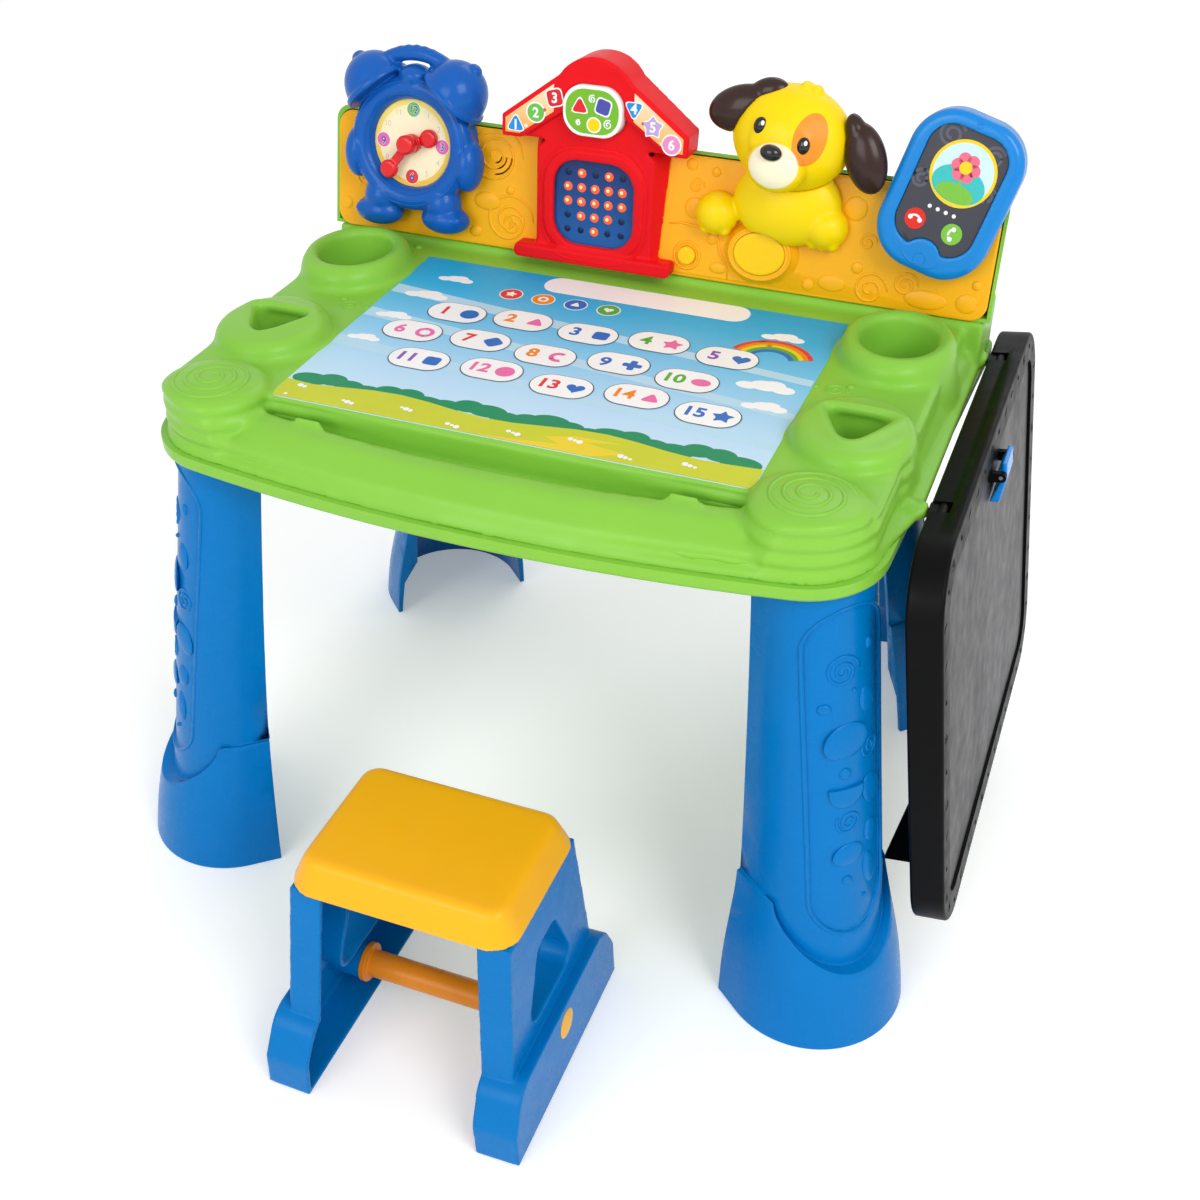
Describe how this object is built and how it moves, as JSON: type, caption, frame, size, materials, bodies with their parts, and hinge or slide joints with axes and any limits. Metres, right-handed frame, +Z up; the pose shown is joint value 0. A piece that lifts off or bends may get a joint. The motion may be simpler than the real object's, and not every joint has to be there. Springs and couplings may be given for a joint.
{
  "type": "activity desk",
  "caption": "Moulded toddler activity desk with splayed legs, pen cups, a lean-back play console, a hinged side drawing board and a matching step stool.",
  "frame": {"origin": "middle of the bounding box of desk, side board and stool, at floor level", "axes": "+Z up, +X to the side with the hinged board, +Y to the back of the desk"},
  "size_m": [0.7334, 0.741, 0.6368],
  "materials": {
    "green": "moulded",
    "blue": "moulded",
    "clock_blue": "moulded",
    "orange": "moulded",
    "red": "moulded",
    "yellow": "moulded",
    "brown": "moulded",
    "black": "moulded",
    "grey_surface": "moulded",
    "dark_window": "moulded",
    "dark_screen": "moulded",
    "badge_green": "moulded",
    "print": "moulded",
    "cream": "moulded",
    "peach": "moulded",
    "bar_orange": "moulded",
    "steel": "moulded",
    "circuit": "moulded",
    "lamp": "moulded",
    "cell": "moulded"
  },
  "bodies": {
    "desk": {"desk_base": "green", "desk_top": "green", "touch_panel": "circuit", "case_screws": "steel", "leg_front_left": "blue", "leg_front_right": "blue", "leg_rear_left": "blue", "leg_rear_right": "blue", "leg_screws": "steel", "console_back": "green", "console_front": "orange", "console_screws": "steel", "battery_door": "green", "battery_door_screw": "steel", "battery_cells": "cell", "battery_contacts": "steel", "speaker": "black", "main_board": "circuit", "clock_body": "clock_blue", "clock_dial": "cream", "clock_spindle": "red", "house_front": "red", "led_window": "dark_window", "led_board": "circuit", "led_lamps": "lamp", "number_strip_left": "peach", "number_strip_right": "peach", "dog_head": "yellow", "dog_body": "yellow", "dog_nose": "black", "dog_eyes": "black", "dog_ear_left": "brown", "dog_ear_right": "brown", "phone_back": "blue", "phone_bezel": "blue", "hinge_brackets": "green"},
    "sheet": {"activity_sheet": "print"},
    "hour_hand": {"hour_hand": "red"},
    "minute_hand": {"minute_hand": "red"},
    "mode_button": {"mode_button": "badge_green"},
    "dog_button": {"dog_button": "yellow"},
    "small_button": {"small_button": "yellow"},
    "phone_screen": {"phone_screen": "dark_screen"},
    "side_board": {"board_back": "black", "board_frame": "black", "writing_surface": "grey_surface", "hinge_pins": "steel", "clip_pin": "steel"},
    "clip": {"board_clip": "blue"},
    "stool": {"stool_seat": "orange", "stool_side_left": "blue", "stool_side_right": "blue", "stool_bar": "bar_orange", "stool_screws": "steel"}
  },
  "joints": [
    {"name": "hour_turn", "type": "hinge", "parent": "desk", "child": "hour_hand", "pos_m": [-0.23043, 0.23443, 0.53816], "axis": [0, -0.9781, 0.2079], "continuous": true},
    {"name": "minute_turn", "type": "hinge", "parent": "desk", "child": "minute_hand", "pos_m": [-0.23043, 0.23443, 0.53816], "axis": [0, -0.9781, 0.2079], "continuous": true},
    {"name": "mode_press", "type": "slide", "parent": "desk", "child": "mode_button", "axis": [0, 0.9962, -0.0872], "range_m": [0, 0.0025], "stiffness_N_per_m": 600, "springref_m": -0.001},
    {"name": "dog_press", "type": "slide", "parent": "desk", "child": "dog_button", "axis": [0, 0.9781, -0.2079], "range_m": [0, 0.003], "stiffness_N_per_m": 600, "springref_m": -0.001},
    {"name": "small_press", "type": "slide", "parent": "desk", "child": "small_button", "axis": [0, 0.9781, -0.2079], "range_m": [0, 0.002], "stiffness_N_per_m": 400, "springref_m": -0.001},
    {"name": "screen_press", "type": "slide", "parent": "desk", "child": "phone_screen", "axis": [0, 0.9781, -0.2079], "range_m": [0, 0.002], "stiffness_N_per_m": 800, "springref_m": -0.001},
    {"name": "board_swing", "type": "hinge", "parent": "desk", "child": "side_board", "pos_m": [0.30357, 0.10497, 0.415], "axis": [0, -1, 0], "range_deg": [0, 80]},
    {"name": "clip_turn", "type": "hinge", "parent": "side_board", "child": "clip", "pos_m": [0.33199, 0.10497, 0.39105], "axis": [0, -1, 0], "range_deg": [0, 30], "stiffness_Nm_per_rad": 0.3, "springref_deg": -5.73},
    {"name": "sheet_lift", "type": "slide", "parent": "desk", "child": "sheet", "axis": [0, 0, 1], "range_m": [0, 0.06]},
    {"name": "stool_move", "type": "slide", "parent": "desk", "child": "stool", "axis": [0, 1, 0], "range_m": [-0.1, 0.2]}
  ]
}
